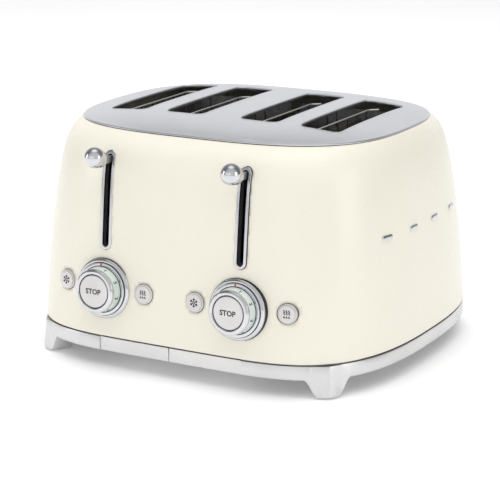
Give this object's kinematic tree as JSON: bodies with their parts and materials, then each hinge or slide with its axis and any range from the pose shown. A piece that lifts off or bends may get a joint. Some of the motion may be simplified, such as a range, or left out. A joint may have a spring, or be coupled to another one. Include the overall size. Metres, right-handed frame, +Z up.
{
  "type": "pop up toaster",
  "caption": "Pop-up toaster with an oval enamelled casing, crowned steel top with bread slots, lift levers, browning dials, push buttons, pull-out crumb trays and a footed metal base.",
  "frame": {"origin": "on the ground under the middle of the whole object's box", "axes": "+X to the right seen from the front, +Y from the lever side to the rear, +Z up"},
  "size_m": [0.334, 0.313, 0.205],
  "materials": {
    "cream_enamel": "gloss",
    "brushed_steel": "brushed",
    "chrome": "polished",
    "satin_metal": "satin",
    "galvanised_steel": "matt zinc",
    "wire_steel": "drawn wire",
    "spring_steel": "drawn wire",
    "mica": "matt",
    "circuit_board": "satin",
    "black_plastic": "matt",
    "black_rubber": "matt"
  },
  "bodies": {
    "housing": {"body_shell": "cream_enamel", "top_plate": "brushed_steel", "trim_bar_1": "chrome", "trim_bar_2": "chrome", "trim_bar_3": "chrome", "trim_bar_4": "chrome", "base_ring": "satin_metal", "foot_pad_front_left": "black_rubber", "foot_pad_front_right": "black_rubber", "foot_pad_rear_left": "black_rubber", "foot_pad_rear_right": "black_rubber", "base_floor": "galvanised_steel", "cord_gland": "black_plastic", "control_board": "circuit_board", "lever_bezel_left": "chrome", "dial_ring_left": "chrome", "front_frame_left": "galvanised_steel", "rear_frame_left": "galvanised_steel", "guide_rod_left": "spring_steel", "lift_spring_left": "spring_steel", "latch_magnet_left": "black_plastic", "heater_card_left_inner": "mica", "heater_card_left_middle": "mica", "heater_card_left_outer": "mica", "lever_bezel_right": "chrome", "dial_ring_right": "chrome", "front_frame_right": "galvanised_steel", "rear_frame_right": "galvanised_steel", "guide_rod_right": "spring_steel", "lift_spring_right": "spring_steel", "latch_magnet_right": "black_plastic", "heater_card_right_inner": "mica", "heater_card_right_middle": "mica", "heater_card_right_outer": "mica"},
    "lift_left": {"lift_carriage_left": "galvanised_steel", "lever_knob_left": "chrome", "bread_rest_left_inner": "galvanised_steel", "bread_rest_left_outer": "galvanised_steel"},
    "dial_left": {"dial_knob_left": "chrome"},
    "stop_left": {"stop_button_left": "satin_metal"},
    "tray_left": {"crumb_tray_left": "satin_metal"},
    "guide_left_inner_a": {"bread_guide_left_inner_a": "wire_steel"},
    "guide_left_inner_b": {"bread_guide_left_inner_b": "wire_steel"},
    "guide_left_outer_a": {"bread_guide_left_outer_a": "wire_steel"},
    "guide_left_outer_b": {"bread_guide_left_outer_b": "wire_steel"},
    "lift_right": {"lift_carriage_right": "galvanised_steel", "lever_knob_right": "chrome", "bread_rest_right_inner": "galvanised_steel", "bread_rest_right_outer": "galvanised_steel"},
    "dial_right": {"dial_knob_right": "chrome"},
    "stop_right": {"stop_button_right": "satin_metal"},
    "tray_right": {"crumb_tray_right": "satin_metal"},
    "guide_right_inner_a": {"bread_guide_right_inner_a": "wire_steel"},
    "guide_right_inner_b": {"bread_guide_right_inner_b": "wire_steel"},
    "guide_right_outer_a": {"bread_guide_right_outer_a": "wire_steel"},
    "guide_right_outer_b": {"bread_guide_right_outer_b": "wire_steel"},
    "defrost_left": {"defrost_button_left": "satin_metal"},
    "reheat_left": {"reheat_button_left": "satin_metal"},
    "defrost_right": {"defrost_button_right": "satin_metal"},
    "reheat_right": {"reheat_button_right": "satin_metal"}
  },
  "joints": [
    {"name": "lever_left", "type": "slide", "parent": "housing", "child": "lift_left", "axis": [0, 0, -1], "range_m": [0, 0.068], "stiffness_N_per_m": 60, "springref_m": -0.06, "deforming": ["lift_spring_left"]},
    {"name": "browning_dial_left", "type": "hinge", "parent": "housing", "child": "dial_left", "pos_m": [-0.0636, -0.13845, 0.0686], "axis": [0, 0.9976, -0.0698], "range_deg": [0, 270]},
    {"name": "stop_button_left", "type": "slide", "parent": "housing", "child": "stop_left", "axis": [0, 0.9976, -0.0698], "range_m": [0, 0.002], "stiffness_N_per_m": 300, "springref_m": -0.002},
    {"name": "crumb_tray_left", "type": "slide", "parent": "housing", "child": "tray_left", "axis": [0, -1, 0], "range_m": [0, 0.2]},
    {"name": "bread_guide_left_inner_a", "type": "hinge", "parent": "housing", "child": "guide_left_inner_a", "pos_m": [-0.04935, 0.00737, 0.0509], "axis": [0, 1, 0], "range_deg": [0, 2]},
    {"name": "bread_guide_left_inner_b", "type": "hinge", "parent": "housing", "child": "guide_left_inner_b", "pos_m": [-0.02175, 0.00737, 0.0509], "axis": [0, -1, 0], "range_deg": [0, 2]},
    {"name": "bread_guide_left_outer_a", "type": "hinge", "parent": "housing", "child": "guide_left_outer_a", "pos_m": [-0.10545, 0.00737, 0.0509], "axis": [0, 1, 0], "range_deg": [0, 2]},
    {"name": "bread_guide_left_outer_b", "type": "hinge", "parent": "housing", "child": "guide_left_outer_b", "pos_m": [-0.07785, 0.00737, 0.0509], "axis": [0, -1, 0], "range_deg": [0, 2]},
    {"name": "lever_right", "type": "slide", "parent": "housing", "child": "lift_right", "axis": [0, 0, -1], "range_m": [0, 0.068], "stiffness_N_per_m": 60, "springref_m": -0.06, "deforming": ["lift_spring_right"]},
    {"name": "browning_dial_right", "type": "hinge", "parent": "housing", "child": "dial_right", "pos_m": [0.0636, -0.13845, 0.0686], "axis": [0, 0.9976, -0.0698], "range_deg": [0, 270]},
    {"name": "stop_button_right", "type": "slide", "parent": "housing", "child": "stop_right", "axis": [0, 0.9976, -0.0698], "range_m": [0, 0.002], "stiffness_N_per_m": 300, "springref_m": -0.002},
    {"name": "crumb_tray_right", "type": "slide", "parent": "housing", "child": "tray_right", "axis": [0, -1, 0], "range_m": [0, 0.2]},
    {"name": "bread_guide_right_inner_a", "type": "hinge", "parent": "housing", "child": "guide_right_inner_a", "pos_m": [0.02175, 0.00737, 0.0509], "axis": [0, 1, 0], "range_deg": [0, 2]},
    {"name": "bread_guide_right_inner_b", "type": "hinge", "parent": "housing", "child": "guide_right_inner_b", "pos_m": [0.04935, 0.00737, 0.0509], "axis": [0, -1, 0], "range_deg": [0, 2]},
    {"name": "bread_guide_right_outer_a", "type": "hinge", "parent": "housing", "child": "guide_right_outer_a", "pos_m": [0.07785, 0.00737, 0.0509], "axis": [0, 1, 0], "range_deg": [0, 2]},
    {"name": "bread_guide_right_outer_b", "type": "hinge", "parent": "housing", "child": "guide_right_outer_b", "pos_m": [0.10545, 0.00737, 0.0509], "axis": [0, -1, 0], "range_deg": [0, 2]},
    {"name": "defrost_button_left", "type": "slide", "parent": "housing", "child": "defrost_left", "axis": [0.1561, 0.9853, -0.0698], "range_m": [0, 0.002], "stiffness_N_per_m": 300, "springref_m": -0.002},
    {"name": "reheat_button_left", "type": "slide", "parent": "housing", "child": "reheat_left", "axis": [0, 0.9976, -0.0698], "range_m": [0, 0.002], "stiffness_N_per_m": 300, "springref_m": -0.002},
    {"name": "defrost_button_right", "type": "slide", "parent": "housing", "child": "defrost_right", "axis": [0, 0.9976, -0.0698], "range_m": [0, 0.002], "stiffness_N_per_m": 300, "springref_m": -0.002},
    {"name": "reheat_button_right", "type": "slide", "parent": "housing", "child": "reheat_right", "axis": [-0.1561, 0.9853, -0.0698], "range_m": [0, 0.002], "stiffness_N_per_m": 300, "springref_m": -0.002}
  ],
  "couplings": [
    {"joint": "bread_guide_left_inner_a", "follows": "lever_left", "rad_per_m": 0.513},
    {"joint": "bread_guide_left_inner_b", "follows": "lever_left", "rad_per_m": 0.513},
    {"joint": "bread_guide_left_outer_a", "follows": "lever_left", "rad_per_m": 0.513},
    {"joint": "bread_guide_left_outer_b", "follows": "lever_left", "rad_per_m": 0.513},
    {"joint": "bread_guide_right_inner_a", "follows": "lever_right", "rad_per_m": 0.513},
    {"joint": "bread_guide_right_inner_b", "follows": "lever_right", "rad_per_m": 0.513},
    {"joint": "bread_guide_right_outer_a", "follows": "lever_right", "rad_per_m": 0.513},
    {"joint": "bread_guide_right_outer_b", "follows": "lever_right", "rad_per_m": 0.513}
  ]
}
